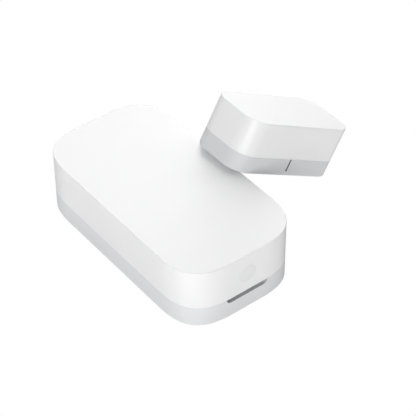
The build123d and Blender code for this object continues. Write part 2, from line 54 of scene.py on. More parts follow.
# ---- driving sizes in millimetres; the frame gives the rest ----
SENSOR_LOW, SENSOR_HIGH = (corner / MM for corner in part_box("sensor_cover"))
BASE_LOW, BASE_HIGH = (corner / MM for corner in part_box("sensor_base"))
SENSOR_LENGTH = SENSOR_HIGH.x - SENSOR_LOW.x
SENSOR_WIDTH = SENSOR_HIGH.y - SENSOR_LOW.y
SENSOR_TOP = SENSOR_HIGH.z
RIM_Z = BASE_LOW.z
SEAM_Z = 3.77
SEAM_GAP = 0.01
SEAM_EDGE = 0.01
COVER_WALL = 1.3
COVER_ROOF = 1.2
BASE_WALL = 1.2
BASE_FLOOR = 1.0
PAD_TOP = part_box("adhesive_pad")[1].z / MM
PAD_INSET = 2.6
FLOOR_TOP = PAD_TOP + BASE_FLOOR
EDGE_ROUND = 0.3
TOP_ROUND = 0.12
RIM_ROUND = 0.12
RECESS_INSET = 2.4

# a housing corner is three tangent arcs: wide, tight and wide
WIDE_RADIUS = 12.95
TIGHT_RADIUS = 5.52
WIDE_TURN = math.radians(15.24)
ARC_STEPS = 12

MAGNET_LENGTH = 24.5
MAGNET_WIDTH = 11.0
MAGNET_TOP = 9.25
MAGNET_SEAM = 3.15
MAGNET_CORNER = 3.4
MAGNET_WALL = 1.1
MAGNET_ROOF = 1.1
MAGNET_PAD = (16.6, 7.0, 1.6)  # length, width and corner radius

BUTTON_Z = 7.25
BUTTON_HOLE = 1.59
BOARD_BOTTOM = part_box("main_pcb")[0].z / MM
BOARD_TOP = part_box("main_pcb")[1].z / MM

# ---- small sizes that many profiles share ----
SINK = 0.1          # how far an inner piece stands in the wall or floor that carries it
LEAD = 0.1          # flat ring beside a round edge
FACE_RING = 1.0     # from a face's edge to its innermost ring
INNER_EDGE = 0.05   # small bevel that shows only when the object is open
CUT_MARGIN = 0.5    # how far a cutter stands out of what it cuts
ROUND_SIDES = 96    # sides of a large round piece


def magnet_frame():
    """The magnet unit's leaning plane, from its mount: origin on its liner, long axis down the lean."""
    mount = next(m for m in record["mounts"] if m["name"] == "magnet_back")
    up = -Vector(mount["axis"]).normalized()
    along = Vector((0.0, up.z, -up.y))
    across = up.cross(along)
    origin = Vector(mount["pos_m"]) / MM
    return Matrix((
        (along.x, across.x, up.x, origin.x),
        (along.y, across.y, up.y, origin.y),
        (along.z, across.z, up.z, origin.z),
        (0.0, 0.0, 0.0, 1.0),
    ))


MAGNET = magnet_frame()
LEVEL = Matrix.Identity(4)


# ---- Materials: every one is procedural, in the part's own millimetres ----

def new_material(name):
    """A node material, its tree and its Principled shader."""
    material = bpy.data.materials.new(name)
    material.use_nodes = True
    tree = material.node_tree
    return material, tree, tree.nodes["Principled BSDF"]


def noise_texture(tree, size_mm, detail=4.0, stretch=(1.0, 1.0, 1.0)):
    """Noise whose features are about size_mm across, stretched by the given factors."""
    coords = tree.nodes.new("ShaderNodeTexCoord")
    mapping = tree.nodes.new("ShaderNodeMapping")
    mapping.inputs["Scale"].default_value = stretch
    noise = tree.nodes.new("ShaderNodeTexNoise")
    noise.inputs["Scale"].default_value = 1.0 / (size_mm * MM)
    noise.inputs["Detail"].default_value = detail
    tree.links.new(coords.outputs["Object"], mapping.inputs["Vector"])
    tree.links.new(mapping.outputs["Vector"], noise.inputs["Vector"])
    return noise.outputs["Fac"]


def cell_texture(tree, size_mm):
    """Round cells about size_mm across."""
    coords = tree.nodes.new("ShaderNodeTexCoord")
    cells = tree.nodes.new("ShaderNodeTexVoronoi")
    cells.inputs["Scale"].default_value = 1.0 / (size_mm * MM)
    tree.links.new(coords.outputs["Object"], cells.inputs["Vector"])
    return cells.outputs["Distance"]


def colour_ramp(tree, factor, low, high, low_at=0.3, high_at=0.7):
    """Colour that runs from low to high as the factor goes between two values."""
    ramp = tree.nodes.new("ShaderNodeValToRGB")
    ramp.color_ramp.elements[0].position = low_at
    ramp.color_ramp.elements[1].position = high_at
    ramp.color_ramp.elements[0].color = (*low, 1.0)
    ramp.color_ramp.elements[1].color = (*high, 1.0)
    tree.links.new(factor, ramp.inputs["Fac"])
    return ramp.outputs["Color"]


def map_range(tree, value, low, high):
    """Stretches a value from 0 to 1 onto low to high."""
    node = tree.nodes.new("ShaderNodeMapRange")
    node.inputs["To Min"].default_value = low
    node.inputs["To Max"].default_value = high
    tree.links.new(value, node.inputs["Value"])
    return node.outputs["Result"]


def mix_colours(tree, factor, first, second):
    """The first colour where the factor is 0, the second where it is 1."""
    node = tree.nodes.new("ShaderNodeMix")
    node.data_type = "RGBA"
    tree.links.new(factor, node.inputs["Factor"])
    tree.links.new(first, node.inputs["A"])
    tree.links.new(second, node.inputs["B"])
    return node.outputs["Result"]


def add_bump(tree, shader, height, strength, depth_mm):
    """Bumps a shader's surface by a height texture."""
    bump = tree.nodes.new("ShaderNodeBump")
    bump.inputs["Strength"].default_value = strength
    bump.inputs["Distance"].default_value = depth_mm * MM
    tree.links.new(height, bump.inputs["Height"])
    tree.links.new(bump.outputs["Normal"], shader.inputs["Normal"])


def shade(colour, amount):
    """The colour made lighter or darker by a factor."""
    return tuple(channel * amount for channel in colour)


def moulded_plastic(name, colour, roughness, grain_mm=0.1, bump=0.06, drift=0.008, specular=0.5):
    """Moulded plastic: fine spark-eroded grain, a slow drift in tint and a little change in roughness."""
    drift_mm = 7.0
    uneven = 0.04
    grain_depth = 0.1 * grain_mm
    material, tree, shader = new_material(name)
    slow = noise_texture(tree, drift_mm, detail=3.0)
    base = colour_ramp(tree, slow, shade(colour, 1 - drift), shade(colour, 1 + drift))
    tree.links.new(base, shader.inputs["Base Color"])
    grain = noise_texture(tree, grain_mm, detail=3.0)
    tree.links.new(map_range(tree, grain, roughness - uneven, roughness + uneven), shader.inputs["Roughness"])
    shader.inputs["Specular IOR Level"].default_value = specular
    add_bump(tree, shader, grain, bump, grain_depth)
    return material


def worked_metal(name, colour, roughness, grain_mm=0.25, stretch=(1.0, 1.0, 1.0), bump=0.15):
    """Rolled, drawn or plated metal: stretched grain drives tint, roughness and bump."""
    dark, bright = 0.82, 1.05
    smoother, rougher = 0.08, 0.12
    material, tree, shader = new_material(name)
    grain = noise_texture(tree, grain_mm, detail=6.0, stretch=stretch)
    base = colour_ramp(tree, grain, shade(colour, dark), shade(colour, bright))
    tree.links.new(base, shader.inputs["Base Color"])
    uneven = map_range(tree, grain, roughness - smoother, roughness + rougher)
    tree.links.new(uneven, shader.inputs["Roughness"])
    shader.inputs["Metallic"].default_value = 1.0
    add_bump(tree, shader, grain, bump, depth_mm=0.01)
    return material


# darker and lighter ends of the materials that have two colours
MASK_GREENS = (0.012, 0.10, 0.045), (0.02, 0.17, 0.075)
EPOXY_TANS = (0.42, 0.36, 0.17), (0.60, 0.55, 0.30)
FOAM_WHITES = (0.62, 0.62, 0.60), (0.84, 0.84, 0.82)
LINER_TANS = (0.66, 0.50, 0.27), (0.83, 0.70, 0.44)
GLASS_TINTS = (0.62, 0.85, 0.76), (0.80, 0.95, 0.90)
RESIN_WHITES = (0.74, 0.76, 0.70), (0.90, 0.92, 0.88)


def circuit_board_material(name):
    """Green solder mask over a copper pour, with glass epoxy showing at the cut edges."""
    material, tree, shader = new_material(name)
    pour = noise_texture(tree, size_mm=2.6, detail=1.0)
    mask = colour_ramp(tree, pour, *MASK_GREENS, low_at=0.47, high_at=0.50)
    weave = noise_texture(tree, size_mm=0.12, detail=2.0, stretch=(1.0, 1.0, 0.2))
    epoxy = colour_ramp(tree, weave, *EPOXY_TANS)
    geometry = tree.nodes.new("ShaderNodeNewGeometry")
    parts = tree.nodes.new("ShaderNodeSeparateXYZ")
    tree.links.new(geometry.outputs["Normal"], parts.inputs["Vector"])
    upright = tree.nodes.new("ShaderNodeMath")
    upright.operation = "ABSOLUTE"
    tree.links.new(parts.outputs["Z"], upright.inputs[0])
    face = tree.nodes.new("ShaderNodeMath")
    face.operation = "GREATER_THAN"
    face.inputs[1].default_value = 0.7
    tree.links.new(upright.outputs["Value"], face.inputs[0])
    tree.links.new(mix_colours(tree, face.outputs["Value"], epoxy, mask), shader.inputs["Base Color"])
    shader.inputs["Roughness"].default_value = 0.32
    shader.inputs["Coat Weight"].default_value = 0.3
    add_bump(tree, shader, pour, strength=0.25, depth_mm=0.03)
    return material


def foam_material(name):
    """Closed-cell foam: pale, matt, with small cells."""
    material, tree, shader = new_material(name)
    cells = cell_texture(tree, size_mm=0.16)
    base = colour_ramp(tree, cells, *FOAM_WHITES, low_at=0.0, high_at=0.8)
    tree.links.new(base, shader.inputs["Base Color"])
    shader.inputs["Roughness"].default_value = 0.92
    add_bump(tree, shader, cells, strength=0.7, depth_mm=0.05)
    return material


def paper_material(name):
    """Silicone-coated liner paper: long fibres under a faint gloss."""
    material, tree, shader = new_material(name)
    fibres = noise_texture(tree, size_mm=0.35, detail=8.0, stretch=(0.3, 1.6, 1.0))
    base = colour_ramp(tree, fibres, *LINER_TANS)
    tree.links.new(base, shader.inputs["Base Color"])
    shader.inputs["Roughness"].default_value = 0.48
    shader.inputs["Coat Weight"].default_value = 0.2
    add_bump(tree, shader, fibres, strength=0.25, depth_mm=0.02)
    return material


def glass_material(name):
    """Green-tinted glass tube with faint drawn streaks."""
    material, tree, shader = new_material(name)
    streaks = noise_texture(tree, size_mm=0.3, detail=3.0, stretch=(0.1, 1.0, 1.0))
    tint = colour_ramp(tree, streaks, *GLASS_TINTS)
    tree.links.new(tint, shader.inputs["Base Color"])
    shader.inputs["Roughness"].default_value = 0.04
    shader.inputs["Transmission Weight"].default_value = 0.85
    shader.inputs["IOR"].default_value = 1.5
    add_bump(tree, shader, streaks, strength=0.1, depth_mm=0.01)
    return material


def resin_material(name):
    """Milky LED resin, a little see-through."""
    material, tree, shader = new_material(name)
    blotch = noise_texture(tree, size_mm=0.4, detail=3.0)
    base = colour_ramp(tree, blotch, *RESIN_WHITES)
    tree.links.new(base, shader.inputs["Base Color"])
    shader.inputs["Roughness"].default_value = 0.25
    shader.inputs["Transmission Weight"].default_value = 0.3
    return material


WHITE = (0.80, 0.80, 0.803)
GREY = (0.690, 0.703, 0.718)
ALONG_X = (0.12, 1.0, 1.0)
DRAWN_X = (0.25, 1.0, 1.0)
GREY_FINISH = dict(roughness=0.54, specular=0.4)
# finish of the darker greys that stand in for shade: painted shade
PAINTED_SHADE_FINISH = dict(roughness=0.6, grain_mm=0.05, bump=0.1)
PLASTICS = {
    "white_shell": dict(colour=WHITE, roughness=0.38),
    "button_white": dict(colour=shade(WHITE, 0.955), roughness=0.42),
    "grey_shell": dict(colour=shade(GREY, 0.97), **GREY_FINISH),
    # the same grey made darker for the magnet unit's base: painted shade where it hangs over the sensor and
    # the shaded floor
    "magnet_grey_painted_shade": dict(colour=shade(GREY, 0.90), **GREY_FINISH),
    # painted shade inside the pry slot: the grey made darker
    "painted_slot_shade": dict(colour=shade(GREY, 0.76), drift=0.02, **PAINTED_SHADE_FINISH),
    # painted shade in the alignment groove: a near-black grey on its walls
    "painted_mark_shade": dict(colour=(0.16, 0.165, 0.17), drift=0.05, **PAINTED_SHADE_FINISH),
    "black_epoxy": dict(colour=(0.022, 0.022, 0.025), roughness=0.55, grain_mm=0.06, bump=0.3, drift=0.2),
    "black_nylon": dict(colour=(0.03, 0.03, 0.033), roughness=0.5, grain_mm=0.09, bump=0.35, drift=0.2),
    "plunger_nylon": dict(colour=(0.70, 0.67, 0.58), roughness=0.45, grain_mm=0.08, bump=0.2, drift=0.03),
    "gasket_nylon": dict(colour=(0.07, 0.07, 0.08), roughness=0.55, grain_mm=0.08, bump=0.2, drift=0.1),
    "capacitor_ceramic": dict(
        colour=(0.36, 0.25, 0.15), roughness=0.45, grain_mm=0.06, bump=0.25, drift=0.12
    ),
}
METALS = {
    "tinned_can": dict(colour=(0.74, 0.74, 0.72), roughness=0.3, grain_mm=0.3, stretch=ALONG_X),
    "gold_trace": dict(colour=(0.86, 0.62, 0.26), roughness=0.28, grain_mm=0.12),
    "spring_steel": dict(colour=(0.70, 0.70, 0.69), roughness=0.26, grain_mm=0.2, stretch=ALONG_X),
    "cell_steel": dict(colour=(0.66, 0.66, 0.66), roughness=0.3, grain_mm=0.3, stretch=DRAWN_X),
    "nickel_magnet": dict(colour=(0.62, 0.61, 0.58), roughness=0.18, grain_mm=0.8, bump=0.1),
    "solder": dict(colour=(0.76, 0.76, 0.78), roughness=0.22, grain_mm=0.15),
}
MATERIALS = {
    "foam_tape": foam_material("foam_tape"),
    "liner_paper": paper_material("liner_paper"),
    "circuit_board": circuit_board_material("circuit_board"),
    "led_resin": resin_material("led_resin"),
    "reed_glass": glass_material("reed_glass"),
}
MATERIALS |= {name: moulded_plastic(name, **look) for name, look in PLASTICS.items()}
MATERIALS |= {name: worked_metal(name, **look) for name, look in METALS.items()}

for entry in record["subparts"]:
    slots = nodes[entry["node"]].data.materials
    slots.clear()
    slots.append(MATERIALS[entry["material_slot"]])


# ---- Mesh helpers ----

SHARP_EDGE = math.radians(32.0)


def set_shading(mesh):
    """Smooth faces, with the edges that turn more than the limit kept crisp."""
    bm = bmesh.new()
    bm.from_mesh(mesh)
    for face in bm.faces:
        face.smooth = True
    for edge in bm.edges:
        edge.smooth = len(edge.link_faces) == 2 and edge.calc_face_angle(0.0) < SHARP_EDGE
    bm.to_mesh(mesh)
    bm.free()


def new_piece(name, bm, body, slot, place=LEVEL, look=None):
    """A finished object from a bmesh in millimetres: placed, shaded, riding on its body.

    Its material is the slot's, or another one that look names.
    """
    bmesh.ops.recalc_face_normals(bm, faces=bm.faces)
    bm.transform(Matrix.Scale(MM, 4) @ place)
    mesh = bpy.data.meshes.new(name)
    bm.to_mesh(mesh)
    bm.free()
    set_shading(mesh)
    piece = bpy.data.objects.new(name, mesh)
    bpy.context.scene.collection.objects.link(piece)
    mesh.materials.append(MATERIALS[look or slot])
    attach(piece, body)
    return piece


def sensor_ring(inset, height):
    """Points round the sensor's plan, shrunk by inset: each corner is a wide, a tight and a wide arc."""
    turn = WIDE_TURN
    wide_reach = WIDE_RADIUS * (math.sin(turn) + 1 - math.cos(turn))
    reach = wide_reach + TIGHT_RADIUS * (math.cos(turn) - math.sin(turn))
    first = Vector((SENSOR_LENGTH / 2 - reach, SENSOR_WIDTH / 2 - WIDE_RADIUS))
    third = Vector((SENSOR_LENGTH / 2 - WIDE_RADIUS, SENSOR_WIDTH / 2 - reach))
    second = first + (WIDE_RADIUS - TIGHT_RADIUS) * Vector((math.sin(turn), math.cos(turn)))
    arcs = (
        (first, WIDE_RADIUS, math.pi / 2, math.pi / 2 - turn),
        (second, TIGHT_RADIUS, math.pi / 2 - turn, turn),
        (third, WIDE_RADIUS, turn, 0.0),
    )
    quarter = []
    for centre, radius, start, end in arcs:
        first_step = 1 if quarter else 0
        for step in range(first_step, ARC_STEPS + 1):
            angle = start + (end - start) * step / ARC_STEPS
            quarter.append(centre + (radius - inset) * Vector((math.cos(angle), math.sin(angle))))
    right = quarter + [Vector((p.x, -p.y)) for p in reversed(quarter)]
    around = right + [Vector((-p.x, p.y)) for p in right][::-1]
    return [(p.x, p.y, height) for p in around]


def rounded_ring(length, width, radius, inset, height):
    """Points round a plain rounded rectangle, shrunk by inset."""
    points = []
    for corner in range(4):
        side_x, side_y = ((1, 1), (-1, 1), (-1, -1), (1, -1))[corner]
        centre = Vector((side_x * (length / 2 - radius), side_y * (width / 2 - radius)))
        for step in range(ARC_STEPS + 1):
            angle = math.pi / 2 * (corner + step / ARC_STEPS)
            point = centre + (radius - inset) * Vector((math.cos(angle), math.sin(angle)))
            points.append((point.x, point.y, height))
    return points


def magnet_ring(inset, height):
    """Points round the magnet unit's plan, shrunk by inset."""
    return rounded_ring(MAGNET_LENGTH, MAGNET_WIDTH, MAGNET_CORNER, inset, height)


def circle_ring(radius, height, count, x=0.0, y=0.0):
    """Points round a circle about a place."""
    angles = [2 * math.pi * i / count for i in range(count)]
    return [(x + radius * math.cos(angle), y + radius * math.sin(angle), height) for angle in angles]


def round_edge(across, height, radius, start, end, steps=6, outward=-1):
    """(across, height) points on a round edge about a centre: 0 degrees faces outwards, 90 faces up.

    Insets grow inwards, so outward is -1 for them and 1 for radii.
    """
    angles = [math.radians(start + (end - start) * step / steps) for step in range(steps + 1)]
    return [(across + outward * radius * math.cos(a), height + radius * math.sin(a)) for a in angles]


def bulged_side(inset, bow, low, high, steps=6):
    """(inset, height) points up the side of squeezed foam, which bows out most at half height."""
    shares = [step / steps for step in range(1, steps)]
    return [(inset - bow * math.sin(math.pi * share), low + (high - low) * share) for share in shares]


def stack(bm, rings, closed=False):
    """Joins rings of points with quads, then caps both ends or joins the last ring to the first."""
    loops = [[bm.verts.new(point) for point in ring] for ring in rings]
    ends = [loops[0]] if closed else []
    for low, high in zip(loops, loops[1:] + ends):
        for i, corner in enumerate(low):
            j = (i + 1) % len(low)
            bm.faces.new((corner, low[j], high[j], high[i]))
    if not closed:
        bm.faces.new(loops[0][::-1])
        bm.faces.new(loops[-1])


def shell(ring, profile):
    """A solid that follows one outline at every (inset, height) of a profile."""
    bm = bmesh.new()
    stack(bm, [ring(inset, height) for inset, height in profile])
    return bm


def lathe(profile, closed=False):
    """A turned solid about local Z from (radius, height) points, flat at both ends or closed into a ring."""
    bm = bmesh.new()
    stack(bm, [circle_ring(radius, height, ROUND_SIDES) for radius, height in profile], closed)
    return bm


def add_box(bm, centre, size, bevel=0.0):
    """Adds a box with bevelled edges."""
    place = Matrix.Translation(centre) @ Matrix.Diagonal((*size, 1.0))
    made = bmesh.ops.create_cube(bm, size=1.0, matrix=place)
    if bevel:
        edges = {edge for vert in made["verts"] for edge in vert.link_edges}
        bmesh.ops.bevel(bm, geom=list(edges), offset=bevel, segments=2, affect="EDGES", profile=0.5)


def add_prism(bm, points, depth, place):
    """Adds a prism: a closed outline in local XY pushed both ways along local Z by half the depth."""
    low = [bm.verts.new(place @ Vector((x, y, -depth / 2))) for x, y in points]
    high = [bm.verts.new(place @ Vector((x, y, depth / 2))) for x, y in points]
    for i in range(len(points)):
        j = (i + 1) % len(points)
        bm.faces.new((low[i], low[j], high[j], high[i]))
    bm.faces.new(low[::-1])
    bm.faces.new(high)


def cut(piece, bm, place=LEVEL):
    """Subtracts a closed bmesh, in millimetres, from a piece's mesh."""
    bmesh.ops.recalc_face_normals(bm, faces=bm.faces)
    bm.transform(Matrix.Scale(MM, 4) @ place)
    mesh = bpy.data.meshes.new("cutter")
    bm.to_mesh(mesh)
    bm.free()
    tool = bpy.data.objects.new("cutter", mesh)
    bpy.context.scene.collection.objects.link(tool)
    modifier = piece.modifiers.new("cut", "BOOLEAN")
    modifier.operation = "DIFFERENCE"
    modifier.solver = "EXACT"
    modifier.object = tool
    depsgraph = bpy.context.evaluated_depsgraph_get()
    result = bpy.data.meshes.new_from_object(piece.evaluated_get(depsgraph))
    piece.modifiers.clear()
    old = piece.data
    piece.data = result
    result.name = old.name
    bpy.data.meshes.remove(old)
    bpy.data.objects.remove(tool)
    set_shading(result)


def tip_to(axis, place):
    """Matrix that stands local +Z along an axis at a place."""
    return Matrix.Translation(place) @ Vector(axis).to_track_quat("Z", "Y").to_matrix().to_4x4()


# ---- Sensor housing ----

HALF_LENGTH = SENSOR_LENGTH / 2
HALF_WIDTH = SENSOR_WIDTH / 2
CEILING = SENSOR_TOP - COVER_ROOF
SLOT_HALF = 4.0
SLOT_DEPTH = 0.84
SLOT_CORNER = 0.75
MARK_WIDTH = 0.3
MARK_DEPTH = 0.25
MARK_LOW = 0.9
REED_X = -7.5
REED_Y = 7.5

FINGER_THICK = 0.7
FINGER_TOP = BASE_HIGH.z
FINGER_WIDTH = 3.2
BARB_REACH = 0.25
BARB_LOW = 3.9
BARB_PEAK = 4.6
BARB_STEP = 0.1
POCKET_DEPTH = 0.4
POCKET_WIDTH = FINGER_WIDTH + 1
FINGER_CLEARANCE = 0.33
FINGER_INSET = COVER_WALL + FINGER_CLEARANCE
SIDE_FINGER_X = 6.0
END_FINGER_Y = 2.6


def cover_profile(wall, corner, face, seam, ceiling, top):
    """(inset, height) points of a cover: across its ceiling, down inside to its lip, up and over its top."""
    low = seam + SEAM_GAP
    lip_rise, lip_run = 0.1, 0.08
    profile = [(wall + face, ceiling), (wall + corner + 2 * LEAD, ceiling)]
    profile += round_edge(wall + corner, ceiling - corner, corner, 90, 0)
    profile += [(wall, low + lip_rise), (wall - lip_run, low), (SEAM_EDGE, low), (0.0, low + SEAM_EDGE)]
    profile += round_edge(TOP_ROUND, top - TOP_ROUND, TOP_ROUND, 0, 90)
    return profile + [(TOP_ROUND + LEAD, top), (TOP_ROUND + FACE_RING, top)]


def make_sensor_cover():
    """White top shell: fine edges, button hole and snap pockets."""
    corner = 0.5
    taper = 0.02
    edge = 0.1
    profile = cover_profile(COVER_WALL, corner, 3 * FACE_RING, SEAM_Z, CEILING, SENSOR_TOP)
    cover = new_piece("sensor_cover_shell", shell(sensor_ring, profile), "housing", "white_shell")
    straight = [(BUTTON_HOLE, -2 * CUT_MARGIN), (BUTTON_HOLE, COVER_WALL - taper)]
    hole = lathe(straight + [(BUTTON_HOLE + 2 * taper, COVER_WALL + taper)])
    cut(cover, hole, tip_to((1, 0, 0), (HALF_LENGTH - COVER_WALL, 0, BUTTON_Z)))
    pockets = bmesh.new()
    height = FINGER_TOP - BARB_LOW
    middle = (FINGER_TOP + BARB_LOW) / 2
    reach = 2 * POCKET_DEPTH
    for side in (-1, 1):
        wall = side * (HALF_WIDTH - COVER_WALL)
        add_box(pockets, (SIDE_FINGER_X, wall, middle), (POCKET_WIDTH, reach, height), edge)
        wall = COVER_WALL - HALF_LENGTH
        add_box(pockets, (wall, side * END_FINGER_Y, middle), (reach, POCKET_WIDTH, height), edge)
    cut(cover, pockets)
    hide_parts("sensor_cover")


POSTS_X = (-15.8, 14.4)
POSTS_Y = (-7.2, 7.2)
POSTS = [(x, y) for x in POSTS_X for y in POSTS_Y]
POST_RADIUS = 1.4
POST_FLARE = 0.2
FLARED_RADIUS = POST_RADIUS + POST_FLARE
PIN_RADIUS = 0.7
# (radius, height) of the pin's flattened head, from its tip up to the board
PIN_HEAD = [(0.2, 0.0), (0.5, 0.03), (0.8, 0.12), (0.93, 0.3), (0.95, 0.42), (0.9, 0.48)]
PIN_HEAD_HEIGHT = 0.5
WEB_START = 1.0
WEB_THICK = 0.6
WEB_HEIGHT = 1.6


def make_cover_posts():
    """Four posts from the roof: the shoulder meets the board and a pin passes it into a flattened head."""
    edge = 0.06
    sides = 32
    root = CEILING + SINK
    profile = [(radius, BOARD_BOTTOM - PIN_HEAD_HEIGHT + height) for radius, height in PIN_HEAD]
    profile += [(PIN_RADIUS, profile[-1][1]), (PIN_RADIUS, BOARD_TOP), (POST_RADIUS - edge, BOARD_TOP)]
    profile += [(POST_RADIUS, BOARD_TOP + edge), (POST_RADIUS, CEILING - 1.5 * POST_FLARE)]
    profile += [(POST_RADIUS + 0.3 * POST_FLARE, CEILING - 0.6 * POST_FLARE)]
    profile += [(FLARED_RADIUS, CEILING), (FLARED_RADIUS, root), (FLARED_RADIUS / 2, root)]
    bm = bmesh.new()
    for x, y in POSTS:
        stack(bm, [circle_ring(radius, height, sides, x, y) for radius, height in profile])
        # web from inside the post to inside the side wall
        start = abs(y) + WEB_START
        end = HALF_WIDTH - COVER_WALL + 2 * SINK
        low = CEILING - WEB_HEIGHT
        centre = (x, math.copysign((start + end) / 2, y), (low + root) / 2)
        add_box(bm, centre, (WEB_THICK, end - start, root - low), INNER_EDGE)
    new_piece("cover_posts", bm, "housing", "white_shell")


TONGUE_LOW = 2.3
TONGUE_TOP = 5.0
LEDGE_LOW = 4.3
TONGUE_INSET = 1.9
TONGUE_THICK = 0.6
TONGUE_REACH = 6.0


def make_cover_tongue():
    """Curved tongue behind the pry slot, hung from a ledge on the cover's wall."""
    edge = 0.08
    near, far, root = TONGUE_INSET, TONGUE_INSET + TONGUE_THICK, COVER_WALL - SINK
    section = [
        (root, TONGUE_TOP),
        (far - edge, TONGUE_TOP),
        (far, TONGUE_TOP - edge),
        (far, TONGUE_LOW + edge),
        (far - edge, TONGUE_LOW),
        (near + edge, TONGUE_LOW),
        (near, TONGUE_LOW + edge),
        (near, LEDGE_LOW - edge),
        (near - edge, LEDGE_LOW),
        (root, LEDGE_LOW),
    ]
    around = [i for i, (x, y, _) in enumerate(sensor_ring(0, 0)) if x > 0 and abs(y) < TONGUE_REACH]
    bm = bmesh.new()
    stack(bm, [[sensor_ring(inset, height)[i] for inset, height in section] for i in around])
    new_piece("cover_tongue", bm, "housing", "white_shell")


def rounded_slot(half_width, depth, corner, open_height):
    """Outline of a slot open at its top: two round lower corners."""
    points = [(half_width, open_height)]
    for side, start in ((1, 0), (-1, -90)):
        middle = side * (half_width - corner)
        points += round_edge(middle, corner - depth, corner, start, start - 90, outward=1)
    return points + [(-half_width, open_height)]


def make_sensor_base():
    """Grey tray: fine lower edge, recess for the pad, pry slot and alignment mark."""
    recess_edge = 0.06
    fillet = 0.4
    profile = [(RECESS_INSET + 2 * FACE_RING, PAD_TOP), (RECESS_INSET, PAD_TOP)]
    profile += [(RECESS_INSET, RIM_Z + recess_edge), (RECESS_INSET - recess_edge, RIM_Z)]
    profile += [(RIM_ROUND + LEAD, RIM_Z)]
    profile += round_edge(RIM_ROUND, RIM_Z + RIM_ROUND, RIM_ROUND, -90, 0)
    profile += [(0.0, SEAM_Z - SEAM_EDGE), (SEAM_EDGE, SEAM_Z)]
    profile += [(BASE_WALL - INNER_EDGE, SEAM_Z), (BASE_WALL, SEAM_Z - INNER_EDGE)]
    profile += round_edge(BASE_WALL + fillet, FLOOR_TOP + fillet, fillet, 0, -90)
    profile += [(BASE_WALL + fillet + 2 * LEAD, FLOOR_TOP), (BASE_WALL + 3 * FACE_RING, FLOOR_TOP)]
    base = new_piece("sensor_base_shell", shell(sensor_ring, profile), "base", "grey_shell")
    cut_slot(base)
    cut_mark(base, (REED_X, HALF_WIDTH), SEAM_Z, LEVEL)
    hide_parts("sensor_base")


def cut_slot(base):
    """Cuts the pry slot into the end wall's top, and gives its faces a darker grey as painted shade, as dark
    as a deep slot's.
    """
    margin = 0.2
    curve_back = 0.1  # more than the wall curves away within the slot's width
    end_wall = Matrix((
        (0, 0, 1, HALF_LENGTH - BASE_WALL / 2),
        (1, 0, 0, 0),
        (0, 1, 0, SEAM_Z),
        (0, 0, 0, 1),
    ))
    slot = bmesh.new()
    outline = rounded_slot(SLOT_HALF, SLOT_DEPTH, SLOT_CORNER, CUT_MARGIN)
    add_prism(slot, outline, BASE_WALL + 2 * margin, end_wall)
    cut(base, slot)
    low = Vector((HALF_LENGTH - BASE_WALL - curve_back, -SLOT_HALF, SEAM_Z - SLOT_DEPTH))
    high = Vector((HALF_LENGTH, SLOT_HALF, SEAM_Z))
    # painted shade on the slot's faces
    paint_shade(base, low, high, LEVEL, "painted_slot_shade")


def paint_shade(piece, low, high, plane, look):
    """Gives the faces that lie within a box, in the plane's millimetres, a darker material as painted shade.
    """
    margin = 0.01
    piece.data.materials.append(MATERIALS[look])
    index = len(piece.data.materials) - 1
    flat = (Matrix.Scale(MM, 4) @ plane).inverted()
    for face in piece.data.polygons:
        corners = [flat @ piece.data.vertices[i].co for i in face.vertices]
        if all(low[k] - margin < corner[k] < high[k] + margin for corner in corners for k in range(3)):
            face.material_index = index


def cut_mark(piece, place, top, plane):
    """Cuts the upright alignment groove into a long side, and gives its walls a near-black grey as painted
    shade, as dark as a groove's.
    """
    groove = bmesh.new()
    height = top + CUT_MARGIN - MARK_LOW
    centre = Vector((*place, MARK_LOW + height / 2))
    size = Vector((MARK_WIDTH, 2 * MARK_DEPTH, height))
    add_box(groove, centre, size)
    cut(piece, groove, plane)
    # painted shade on the groove's walls
    paint_shade(piece, centre - size / 2, centre + size / 2, plane, "painted_mark_shade")


def make_snap_fingers():
    """Four spring fingers with an outward barb and a flared root, standing on the tray's floor."""
    root = 0.25
    bend = 0.3 * root
    edge = 0.06
    slope = 0.04
    nose = BARB_REACH - edge / 2
    barb_start = BARB_LOW + BARB_STEP
    foot = FLOOR_TOP - SINK
    back = -FINGER_THICK
    profile = [
        (back - root, foot),
        (root, foot),
        (root, FLOOR_TOP),
        (bend, FLOOR_TOP + bend),
        (0.0, FLOOR_TOP + root),
        (0.0, barb_start),
        (nose, BARB_PEAK - edge),
        (nose, BARB_PEAK + edge),
        (0.0, FINGER_TOP - slope),
        (-edge, FINGER_TOP),
        (back + edge, FINGER_TOP),
        (back, FINGER_TOP - edge),
        (back, FLOOR_TOP + root),
        (back - bend, FLOOR_TOP + bend),
        (back - root, FLOOR_TOP),
    ]
    side = HALF_WIDTH - FINGER_INSET
    end = HALF_LENGTH - FINGER_INSET
    places = [((SIDE_FINGER_X, side), 90), ((SIDE_FINGER_X, -side), -90)]
    places += [((-end, END_FINGER_Y), 180), ((-end, -END_FINGER_Y), 180)]
    upright = Matrix(((1, 0, 0, 0), (0, 0, -1, 0), (0, 1, 0, 0), (0, 0, 0, 1)))
    bm = bmesh.new()
    for (x, y), turn in places:
        place = Matrix.Translation((x, y, 0)) @ Matrix.Rotation(math.radians(turn), 4, "Z") @ upright
        add_prism(bm, profile, FINGER_WIDTH, place)
    new_piece("base_snap_fingers", bm, "base", "grey_shell")


CELL_LOW, CELL_HIGH = (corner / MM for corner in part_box("cell_can"))
CELL_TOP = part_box("cell_cap")[1].z / MM
CELL_X = (CELL_LOW.x + CELL_HIGH.x) / 2
CELL_RADIUS = (CELL_HIGH.x - CELL_LOW.x) / 2
RAIL_LENGTH = 9.6
RAIL_THICK = 0.8
RAIL_Y = 3.0
RAIL_GAP = 0.02


